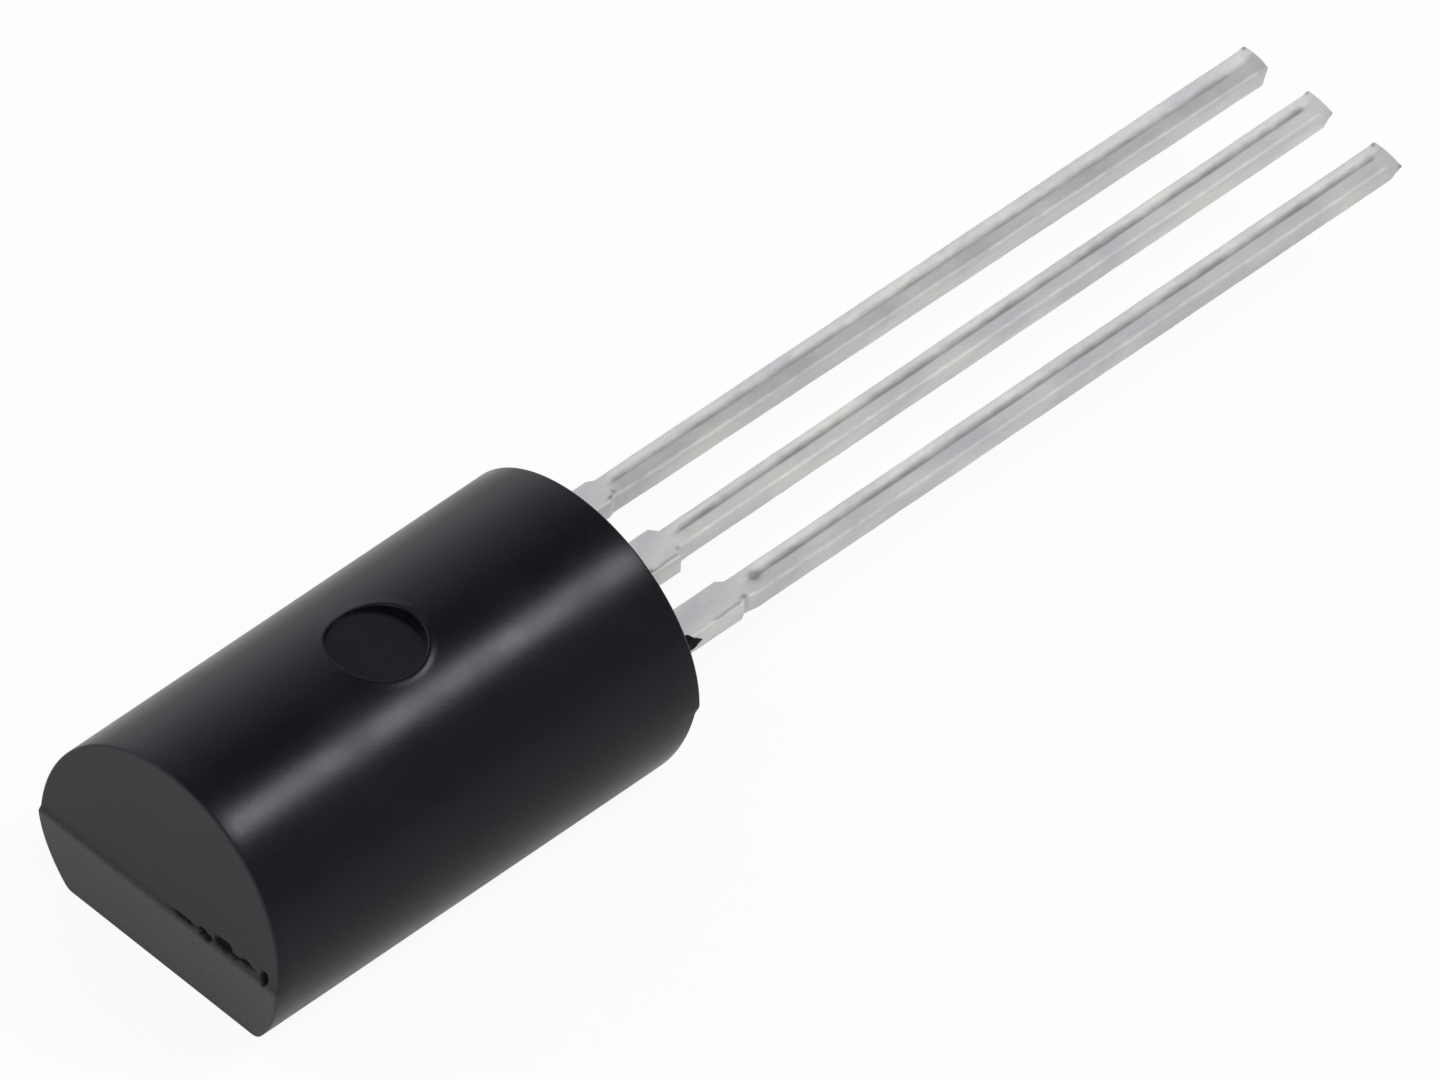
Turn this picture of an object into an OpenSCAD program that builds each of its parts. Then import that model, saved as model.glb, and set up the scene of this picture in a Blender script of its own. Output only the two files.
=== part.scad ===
// Long-bodied three-lead transistor, lying on the flat of its moulded body.
// X runs along the leads towards their tips, Z points up and the flat lies on Z = 0.
// The origin is on the flat, midway along the body. The round side is up and the head end is at -X.

/* [Resin body] */
// Length of the body at its parting line
body_l = 8; // [7.4:0.05:8.6]
// Diameter of the round side, which is the width of the body
body_w = 4.65; // [4.45:0.05:5.2]
// Height of the parting line above the flat
parting_h = 1.41; // [1.3:0.01:1.6]
// Draft of both end faces above the parting line, in degrees
upper_draft = 2.5; // [0.5:0.5:5]
// Draft of the head end below the parting line, in degrees
head_draft = 8; // [4:0.5:12]
// Draft of the lead end below the parting line, in degrees
lead_end_draft = 10; // [4:0.5:12]
// How far the lower mould half sat towards the head
mould_shift = 0.06; // [0.02:0.01:0.1]

/* [Ejector mark] */
// Diameter of the round mark that the ejector pin left on the crown
mark_d = 1.4; // [1:0.05:1.6]
// Depth of the mark at the crown
mark_depth = 0.15; // [0.13:0.01:0.25]
// Place of the mark along the body, from its middle
mark_x = -0.05; // [-0.5:0.05:0.5]

/* [Gate scar] */
// Number of chips that the broken gate left along the parting line
chip_count = 5; // [2:1:5]
// Distance between the chips
chip_pitch = 0.4; // [0.36:0.01:0.45]
// Radius of a chip
chip_r = 0.25; // [0.2:0.01:0.3]
// Depth of a chip in the head end
chip_depth = 0.05; // [0.03:0.01:0.08]
// Height of a chip across the parting line
chip_h = 0.14; // [0.08:0.01:0.2]
// Place of the middle of the scar across the body
gate_y = -1.25; // [-1.25:0.05:1.25]

/* [Resin spur] */
// How far the spur of flash stands out along the near side of the base lead
spur_l = 0.83; // [0.4:0.01:1.1]
// Width of the spur beside the lead, where it leaves the body
spur_w = 0.14; // [0.1:0.01:0.2]
// How far the spur laps over the upper edge of the lead
spur_lap = 0.1; // [0.06:0.01:0.15]
// Thickness of the spur on top of the lead
spur_t = 0.04; // [0.03:0.005:0.08]

/* [Lead frame] */
// Thickness of the strip that the leads are stamped from
frame_t = 0.32; // [0.28:0.01:0.4]
// Width of a lead beyond its shoulder
lead_w = 0.42; // [0.38:0.01:0.5]
// Distance between the middles of neighbouring leads
lead_pitch = 1.27; // [1.22:0.01:1.32]
// Length of the leads beyond the body
lead_l = 14.2; // [12:0.1:16]
// Width of the collector lead at its shoulder
shoulder_w = 0.64; // [0.56:0.01:0.7]
// Width of the side leads at their shoulders
side_shoulder_w = 0.56; // [0.52:0.01:0.66]
// Length of the shoulders beyond the body, up to the trimmed tie bar
shoulder_l = 1.65; // [1:0.05:2.2]
// Length over which a shoulder narrows to its lead
shoulder_taper = 0.1; // [0.05:0.01:0.2]
// Radius of the rolled edges along the upper side of a lead
edge_roll = 0.06; // [0.03:0.01:0.09]
// Width of the crease along the middle of a lead's upper side
crease_w = 0.08; // [0.04:0.01:0.12]
// Depth of the crease
crease_d = 0.02; // [0.01:0.005:0.04]
// Distance from the end of the crease to the tip
crease_gap = 0.2; // [0.15:0.01:0.4]
// Bevel of the sheared tips
tip_bevel = 0.07; // [0.03:0.01:0.12]
// Toe-in of the emitter lead beyond its shoulder, in degrees
emitter_toe = 0.55; // [0.1:0.05:1]

/* [Frame inside the resin] */
// Distance from the head end to the die pad
pad_inset = 1.2; // [0.9:0.05:1.4]
// Length of the die pad
pad_l = 2.6; // [2.2:0.05:2.8]
// Width of the die pad
pad_w = 2.5; // [2:0.05:3]
// Width of the neck between the pad and its lead
neck_w = 0.5; // [0.4:0.01:0.6]
// Gap between the bond posts and the pad and neck
post_gap = 0.4; // [0.3:0.01:0.45]
// Length of a bond post
post_l = 1.1; // [0.9:0.05:1.2]
// Width of a bond post
post_w = 1.05; // [1:0.01:1.2]
// Corner cut of the pad and the posts
corner_cut = 0.2; // [0.1:0.01:0.3]
// Radius of the notches that lock the frame in the resin
notch_r = 0.1; // [0.06:0.01:0.13]

/* [Die and wires] */
// Side of the square die
die_w = 0.8; // [0.6:0.05:1]
// Thickness of the die
die_t = 0.22; // [0.15:0.01:0.3]
// Thickness of the die attach under the die
attach_t = 0.03; // [0.02:0.005:0.05]
// How far the die attach shows around the die
attach_margin = 0.06; // [0.03:0.01:0.1]
// Distance from the end of the pad to the middle of the die
die_setback = 1; // [0.8:0.05:1.3]
// Place of each wire's bond on the die, from the middle of the die
bond_offset = 0.2; // [0.12:0.01:0.22]
// Diameter of the bond wires
wire_d = 0.05; // [0.04:0.005:0.07]
// Diameter of the ball and of the foot at the ends of each wire
ball_d = 0.11; // [0.09:0.01:0.14]
// Height of the ball
ball_h = 0.04; // [0.03:0.005:0.06]
// Height that a wire rises straight from its ball
wire_rise = 0.16; // [0.1:0.01:0.3]
// Radius of a wire's bend
wire_bend = 0.12; // [0.08:0.01:0.2]

/* [Hidden] */
$fn = 96;

resin = [0.12, 0.12, 0.13];
tinned = [0.78, 0.78, 0.77];
silicon = [0.35, 0.37, 0.42];
solder = [0.62, 0.63, 0.65];
gold = [0.9, 0.72, 0.3];

// Planes of the body
head_x = -body_l / 2;
lead_end_x = body_l / 2;
round_r = body_w / 2;
crown_h = parting_h + round_r;

// Stations of the lead frame along X
pad_x0 = head_x + pad_inset;
pad_x1 = pad_x0 + pad_l;
post_x0 = pad_x1 + post_gap;
post_x1 = post_x0 + post_l;
post_y0 = neck_w / 2 + post_gap;
lock_x = (post_x1 + lead_end_x) / 2;
shoulder_x = lead_end_x + shoulder_l;
tip_x = lead_end_x + lead_l;

// The die stack, and a wire seen from its bond on the die
die_x = pad_x1 - die_setback;
stack_h = attach_t + die_t;
bond_x = die_x + bond_offset;
landing_x = post_x0 + post_l / 2;
landing_y = post_y0 + post_w / 2;
span = norm([landing_x - bond_x, landing_y - bond_offset]);
heading = atan2(landing_y - bond_offset, landing_x - bond_x);
bend_h = stack_h + ball_h + wire_rise;
reach = norm([span - wire_bend, bend_h]);
slope = atan2(bend_h, span - wire_bend) + asin(wire_bend / reach);
ball_edge_r = 0.8 * ball_d / 2;
wire_sides = 8;
bend_steps = 8;

// Outline of the body seen from the side, with the draft and the shifted mould halves
module side_outline() {
    polygon([
        [head_x - mould_shift + parting_h * tan(head_draft), 0],
        [lead_end_x - mould_shift - parting_h * tan(lead_end_draft), 0],
        [lead_end_x - mould_shift, parting_h],
        [lead_end_x, parting_h],
        [lead_end_x - round_r * tan(upper_draft), crown_h],
        [head_x + round_r * tan(upper_draft), crown_h],
        [head_x, parting_h],
        [head_x - mould_shift, parting_h]
    ]);
}

// Section of the body: the round side, cut off at the flat by the side outline
module round_side() {
    translate([-body_l, 0, parting_h])
        rotate([0, 90, 0])
            cylinder(r = round_r, h = 2 * body_l, $fn = 180);
}

module ejector_mark() {
    translate([mark_x, 0, crown_h - mark_depth])
        cylinder(d = mark_d, h = round_r);
}

// Chips along the parting line, where the gate broke away from the head end
module gate_scar() {
    for (i = [0 : chip_count - 1])
        translate([
            head_x - mould_shift - chip_r + chip_depth,
            gate_y + (i - (chip_count - 1) / 2) * chip_pitch,
            parting_h
        ])
            cylinder(r = chip_r, h = chip_h, center = true, $fn = 48);
}

// Flash that crept out of the mould along the near side of the base lead and laps over its upper edge.
// Its plan narrows to a point, and its side view to a tip halfway up the lead
module resin_spur() {
    side_y = -(lead_pitch + side_shoulder_w / 2);
    root_x = lead_end_x - 2 * spur_w;
    lap_x = lead_end_x + 0.75 * spur_l;
    point_x = lead_end_x + spur_l;
    intersection() {
        translate([0, 0, parting_h])
            linear_extrude(2 * frame_t)
                polygon([
                    [root_x, side_y + spur_lap], [lap_x, side_y + spur_lap], [point_x, side_y],
                    [lead_end_x, side_y - spur_w], [root_x, side_y - spur_w]
                ]);
        rotate([90, 0, 0])
            linear_extrude(2 * body_w, center = true)
                polygon([
                    [root_x, parting_h], [lap_x, parting_h], [point_x, parting_h + frame_t / 2],
                    [lap_x, parting_h + frame_t + spur_t], [root_x, parting_h + frame_t + spur_t]
                ]);
    }
}

module resin_block() {
    difference() {
        intersection() {
            round_side();
            rotate([90, 0, 0])
                linear_extrude(2 * body_w, center = true)
                    side_outline();
        }
        ejector_mark();
        gate_scar();
    }
    resin_spur();
}

// Everything that the resin was moulded around
module held_pieces() {
    collector_shape();
    emitter_shape();
    base_shape();
    die_shape();
    attach_shape();
    wire_shape();
    mirror([0, 1, 0])
        wire_shape();
}

module body() {
    color(resin)
        difference() {
            resin_block();
            held_pieces();
        }
}

// A flat blank stamped from the strip, whose lower face lies on the parting plane
module stamped() {
    translate([0, 0, parting_h])
        linear_extrude(frame_t)
            children();
}

// A rectangle from x0 to x1 and from y0 to y1 with its corners cut
module plate(x0, x1, y0, y1) {
    polygon([
        [x0 + corner_cut, y0], [x1 - corner_cut, y0], [x1, y0 + corner_cut], [x1, y1 - corner_cut],
        [x1 - corner_cut, y1], [x0 + corner_cut, y1], [x0, y1 - corner_cut], [x0, y0 + corner_cut]
    ]);
}

// The stretch of a lead of width w that starts at x0 in the resin and ends at the trimmed tie bar, on y = 0
module shoulder_outline(x0, w) {
    difference() {
        polygon([
            [x0, -w / 2], [shoulder_x - shoulder_taper, -w / 2],
            [shoulder_x, -lead_w / 2], [shoulder_x, lead_w / 2],
            [shoulder_x - shoulder_taper, w / 2], [x0, w / 2]
        ]);
        for (side = [-1, 1])
            translate([lock_x, side * w / 2])
                circle(r = notch_r, $fn = 32);
    }
}

// Section of a lead across its run: the upper edges are rolled and the lower ones are sharp
module lead_section() {
    translate([-lead_w / 2, 0])
        square([lead_w, frame_t - edge_roll]);
    translate([-lead_w / 2 + edge_roll, 0])
        square([lead_w - 2 * edge_roll, frame_t]);
    for (side = [-1, 1])
        translate([side * (lead_w / 2 - edge_roll), frame_t - edge_roll])
            circle(r = edge_roll, $fn = 32);
}

// A lead from inside its shoulder to the sheared tip, on y = 0
module lead_shank() {
    start_x = shoulder_x - shoulder_taper;
    translate([0, 0, parting_h])
        difference() {
            intersection() {
                translate([start_x, 0, 0])
                    rotate([90, 0, 90])
                        linear_extrude(tip_x - start_x)
                            lead_section();
                rotate([90, 0, 0])
                    linear_extrude(2 * lead_w, center = true)
                        polygon([
                            [start_x, 0], [tip_x, 0], [tip_x, frame_t - tip_bevel],
                            [tip_x - tip_bevel, frame_t], [start_x, frame_t]
                        ]);
            }
            translate([shoulder_x, 0, frame_t])
                rotate([90, 0, 90])
                    linear_extrude(tip_x - crease_gap - shoulder_x)
                        polygon([[-crease_w / 2, 0], [0, -crease_d], [crease_w / 2, 0]]);
        }
}

// The middle lead with the pad that carries the die
module collector_shape() {
    stamped() {
        difference() {
            plate(pad_x0, pad_x1, -pad_w / 2, pad_w / 2);
            for (side = [-1, 1])
                translate([pad_x0 + pad_l / 2, side * pad_w / 2])
                    circle(r = notch_r, $fn = 32);
        }
        translate([pad_x1 - corner_cut, -neck_w / 2])
            square([post_x1 + post_gap - pad_x1 + corner_cut, neck_w]);
        shoulder_outline(post_x1 + post_gap, shoulder_w);
    }
    lead_shank();
}

// A side lead at +Y, whose post takes a bond wire, turned inwards beyond its shoulder by toe degrees
module side_lead(toe) {
    stamped() {
        plate(post_x0, post_x1, post_y0, post_y0 + post_w);
        translate([0, lead_pitch])
            shoulder_outline(post_x1 - corner_cut, side_shoulder_w);
    }
    translate([shoulder_x, lead_pitch, 0])
        rotate([0, 0, -toe])
            translate([-shoulder_x, 0, 0])
                lead_shank();
}

module emitter_shape() {
    side_lead(emitter_toe);
}

module base_shape() {
    mirror([0, 1, 0])
        side_lead(0);
}

module die_shape() {
    translate([die_x - die_w / 2, -die_w / 2, parting_h - stack_h])
        cube([die_w, die_w, die_t]);
}

module attach_shape() {
    side = die_w + 2 * attach_margin;
    translate([die_x - side / 2, -side / 2, parting_h - attach_t])
        cube([side, side, attach_t]);
}

// A bond wire at +Y, drawn in its own upright plane with the frame's face at height 0, then turned
// to its post. Each ring holds its place along the span, its height, the turn of the wire away from
// upright and its radius: the ball, the straight rise, the bend, the straight run down and the foot
function wire_rings() = [
    [0, stack_h, 0, ball_edge_r],
    [0, stack_h + ball_h / 2, 0, ball_d / 2],
    [0, stack_h + ball_h, 0, ball_edge_r],
    [0, stack_h + ball_h, 0, wire_d / 2],
    for (i = [0 : bend_steps])
        let (turn = i / bend_steps * (90 + slope))
            [wire_bend * (1 - cos(turn)), bend_h + wire_bend * sin(turn), turn, wire_d / 2],
    [span - ball_d * cos(slope), ball_d * sin(slope), 90 + slope, wire_d / 2],
    [span, 0, 180, ball_d / 2]
];

// One point of a ring, at the angle a round the wire
function ring_point(ring, a) = [
    ring[0] + ring[3] * cos(a) * cos(ring[2]),
    ring[3] * sin(a),
    ring[1] - ring[3] * cos(a) * sin(ring[2])
];

module wire_shape() {
    rings = wire_rings();
    points = [for (ring = rings, k = [0 : wire_sides - 1]) ring_point(ring, k * 360 / wire_sides)];
    last = (len(rings) - 1) * wire_sides;
    walls = [
        for (i = [0 : len(rings) - 2], k = [0 : wire_sides - 1])
            let (a = i * wire_sides + k, b = i * wire_sides + (k + 1) % wire_sides)
                each [[a, a + wire_sides, b], [b, a + wire_sides, b + wire_sides]]
    ];
    ends = [
        [for (k = [0 : wire_sides - 1]) k],
        [for (k = [wire_sides - 1 : -1 : 0]) last + k]
    ];
    translate([bond_x, bond_offset, parting_h])
        rotate([0, 0, heading])
            mirror([0, 0, 1])
                polyhedron(points, concat(walls, ends));
}

module collector_lead() {
    color(tinned)
        collector_shape();
}

module emitter_lead() {
    color(tinned)
        emitter_shape();
}

module base_lead() {
    color(tinned)
        base_shape();
}

module die() {
    color(silicon)
        die_shape();
}

module die_attach() {
    color(solder)
        attach_shape();
}

module emitter_wire() {
    color(gold)
        wire_shape();
}

module base_wire() {
    color(gold)
        mirror([0, 1, 0])
            wire_shape();
}

body();
collector_lead();
emitter_lead();
base_lead();
die();
die_attach();
emitter_wire();
base_wire();
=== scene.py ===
# A long-bodied three-lead transistor, lying on the flat of its moulded body. The leads run along X,
# the round side is up, and everything is in metres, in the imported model's own frame.

import bmesh
import bpy
import numpy as np
from mathutils import Matrix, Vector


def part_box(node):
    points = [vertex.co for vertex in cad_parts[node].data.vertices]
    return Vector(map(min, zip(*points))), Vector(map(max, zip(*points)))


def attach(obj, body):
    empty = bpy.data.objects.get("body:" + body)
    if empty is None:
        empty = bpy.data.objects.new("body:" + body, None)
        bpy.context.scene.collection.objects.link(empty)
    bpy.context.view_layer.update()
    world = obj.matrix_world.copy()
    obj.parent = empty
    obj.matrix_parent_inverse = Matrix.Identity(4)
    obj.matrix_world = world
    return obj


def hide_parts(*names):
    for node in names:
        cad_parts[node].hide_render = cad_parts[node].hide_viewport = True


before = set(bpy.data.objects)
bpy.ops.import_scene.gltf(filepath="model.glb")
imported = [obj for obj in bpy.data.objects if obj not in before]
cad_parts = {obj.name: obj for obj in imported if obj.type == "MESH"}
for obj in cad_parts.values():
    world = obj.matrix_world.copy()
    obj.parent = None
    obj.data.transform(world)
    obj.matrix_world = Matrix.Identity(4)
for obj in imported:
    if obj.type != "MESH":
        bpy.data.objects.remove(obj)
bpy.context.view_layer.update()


# Leads
# Three leads stamped from one strip of copper alloy. Each runs from a pad or a bond post inside the
# resin to a sheared tip. The tie bar was trimmed off behind the wide shoulders, and the strip was
# dipped in tin, which rolls over the upper edges and sinks into a crease along the middle.
mm = 0.001

# The stamped outline
strip_low, strip_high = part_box("collector_lead")
strip_face = strip_low.z
strip_top = strip_high.z
pad_l = 2.6 * mm
pad_x0 = strip_low.x
pad_x1 = pad_x0 + pad_l
pad_side = strip_high.y
tip_x = strip_high.x
lead_pitch = 1.27 * mm
neck_side = 0.25 * mm
post_gap = 0.4 * mm
post_l = 1.1 * mm
post_w = 1.05 * mm
post_x0 = pad_x1 + post_gap
post_x1 = post_x0 + post_l
post_near = neck_side + post_gap
post_far = post_near + post_w
corner_cut = 0.2 * mm
lock_x = 2.65 * mm
lock_r = 0.1 * mm
shoulder_side = 0.32 * mm
side_shoulder = 0.28 * mm
shoulder_x = 5.65 * mm
shoulder_taper = 0.1 * mm
lead_side = 0.21 * mm
resin_x = 4 * mm
spread_x = 4.6 * mm
punch_r = 0.02 * mm
burr_r = 0.015 * mm
emitter_toe = np.radians(0.55)

# The tin: its rolls over the upper edges, the crease and the seam, the painted shade along the
# crease and on the near half, the seam's dark line, and the slopes of the upper face
inner_roll = 0.02 * mm
near_roll = 0.07 * mm
far_roll = 0.03 * mm
roll_start = 4.05 * mm
roll_ramp = 0.3 * mm
shank_ramp = 0.25 * mm
waviness = 0.0035 * mm
crease_w = 0.045 * mm
crease_start_ramp = 0.2 * mm
crease_end_ramp = 0.12 * mm
seam_w = 0.024 * mm
seam_depth = 0.008 * mm
seam_wander = 0.025 * mm
seam_ramp = 0.1 * mm
seam_dark = 0.6
# Widths of the painted shade along the crease and of the painted shade on the near half of the upper
# face
crease_shade_w = 1.1 * crease_w
haze_w = 0.9 * near_roll
patchy = 0.25
dark_patchy = 0.3
least_climb = 0.002
near_climb = 0.02
far_climb = 0.32
shoulder_soft = 0.4
far_swell_start = 0.1

# The sheared tip
tip_round = 0.03 * mm
tip_near_round = 0.5 * tip_round
tip_far_round = 0.15 * tip_round
tip_sharpens = 0.8
tip_run = 0.2 * mm
tip_rise = 0.02 * mm
tip_tilt = 0.1
tip_slant = 0.05 * mm
tip_bow = 0.04 * mm

# How closely the rings stand along a lead, and how near two points are one
root_fine_x = 4.2 * mm
root_fine_end = 6.4 * mm
root_step = 0.03 * mm
shank_step = 0.09 * mm
tip_fine = 0.3 * mm
weld_reach = 0.0002 * mm


def lay_grid(points, closed=False):
    """Four-sided faces between the rows and columns of a grid of points; closed joins the last column
    to the first."""
    rows, columns = points.shape[:2]
    index = np.arange(rows * columns).reshape(rows, columns)
    if closed:
        index = np.hstack([index, index[:, :1]])
    return np.stack([index[:-1, :-1], index[:-1, 1:], index[1:, 1:], index[1:, :-1]], axis=-1)


def make_piece(name, sheets, sharp=40, shares=None):
    """Joins sheets of points and their faces into one closed mesh. Points that two sheets share become
    one, faces that shrink to nothing at a pole go, and edges sharper than the angle in degrees stay
    crisp. shares names numbers for the material to read, with an array for each sheet."""
    corners = np.vstack([points.reshape(-1, 3) for points, faces in sheets])
    starts = np.cumsum([0] + [points.reshape(-1, 3).shape[0] for points, faces in sheets])
    faces = np.vstack([faces.reshape(-1, 4) + start for (points, faces), start in zip(sheets, starts)])
    mesh = bpy.data.meshes.new(name)
    mesh.vertices.add(len(corners))
    mesh.vertices.foreach_set("co", corners.astype(np.float32).ravel())
    mesh.loops.add(faces.size)
    mesh.loops.foreach_set("vertex_index", faces.astype(np.int32).ravel())
    mesh.polygons.add(len(faces))
    mesh.polygons.foreach_set("loop_start", np.arange(0, faces.size, 4, dtype=np.int32))
    mesh.update(calc_edges=True)
    for share, parts in (shares or {}).items():
        layer = mesh.attributes.new(share, "FLOAT", "POINT")
        values = np.concatenate([part.ravel() for part in parts])
        layer.data.foreach_set("value", values.astype(np.float32))
    shell = bmesh.new()
    shell.from_mesh(mesh)
    bmesh.ops.remove_doubles(shell, verts=shell.verts, dist=weld_reach)
    bmesh.ops.recalc_face_normals(shell, faces=shell.faces)
    shell.to_mesh(mesh)
    shell.free()
    mesh.shade_smooth()
    mesh.set_sharp_from_angle(angle=np.radians(sharp))
    piece = bpy.data.objects.new(name, mesh)
    bpy.context.scene.collection.objects.link(piece)
    return piece


def ripple(x, phase):
    """A slow unevenness between about -1 and 1 along x: three sine waves of unlike length, added."""
    return (np.sin(x / (0.31 * mm) + phase) + 0.7 * np.sin(x / (0.13 * mm) + 2.3 * phase)
            + 0.4 * np.sin(x / (0.057 * mm) + 4.1 * phase)) / 2.1


def stamped_edges(x, corners, notches):
    """Near and far edge of a stamped outline at each x. The outline runs straight between its corners,
    which are rows of x, near edge and far edge, and round notches are bitten out of both edges."""
    near = np.interp(x, corners[:, 0], corners[:, 1])
    far = np.interp(x, corners[:, 0], corners[:, 2])
    bite = sum(np.sqrt(np.clip(lock_r ** 2 - (x - notch) ** 2, 0, None)) for notch in notches)
    return near + bite, far - bite


def lead_rings(x, near, far, top, groove, rolls, slopes, crease):
    """Rings of points round a lead, one for each x. The section is a rectangle from near to far and
    from the strip's lower face to top. Its lower corners are quarter circles of radius burr_r, its upper
    ones of the near and far rolls. From the groove the upper face climbs to both sides by the near and
    far slopes, and it sinks along the groove by crease, as a narrow bell curve."""
    x, near, far, top, groove, crease = (v[:, None] for v in (x, near, far, top, groove, crease))
    near_r, far_r, near_up, far_up = (v[:, None] for v in (*rolls, *slopes))
    turn = np.radians(np.linspace(0, 90, 7))
    burr_out = burr_r * (1 - np.cos(turn))
    burr_up = burr_r * (1 - np.sin(turn))
    under = np.linspace(0, 1, 9)[1:-1]
    over = np.linspace(0, 1, 18)[1:-1]
    far_flat = over[::-1] * (far - far_r - groove)
    near_flat = over * (groove - near - near_r)
    floor_z = top - far_up * (far - far_r - groove)
    near_edge = floor_z + near_up * (groove - near - near_r)
    waist = (strip_face + top) / 2
    y = np.hstack([
        near + burr_out,
        near + burr_r + under * (far - near - 2 * burr_r),
        far - burr_out[::-1],
        far,
        far - far_r * (1 - np.cos(turn)),
        groove + far_flat,
        groove,
        groove - near_flat,
        near + near_r * (1 - np.cos(turn[::-1])),
        near
    ])
    z = np.hstack([
        strip_face + burr_up + 0 * x,
        strip_face + 0 * under + 0 * x,
        strip_face + burr_up[::-1] + 0 * x,
        waist,
        top - far_r * (1 - np.sin(turn)),
        floor_z + far_up * far_flat - crease * np.exp(-(far_flat / crease_w) ** 2),
        floor_z - crease,
        floor_z + near_up * near_flat - crease * np.exp(-(near_flat / crease_w) ** 2),
        near_edge - near_r * (1 - np.sin(turn[::-1])),
        waist
    ])
    return np.stack([x + 0 * y, y, z], axis=-1)


def end_cap(ring):
    """A flat cap over a ring: the ring drawn in towards its middle in steps, down to one point."""
    middle = ring.mean(axis=0)
    shares = np.array([1, 0.7, 0.4, 0.15, 0])[:, None, None]
    return middle + shares * (ring - middle)


def mirrored(corners):
    """The same outline on the other side of the middle lead."""
    return np.stack([corners[:, 0], -corners[:, 2], -corners[:, 1]], axis=1)


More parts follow.
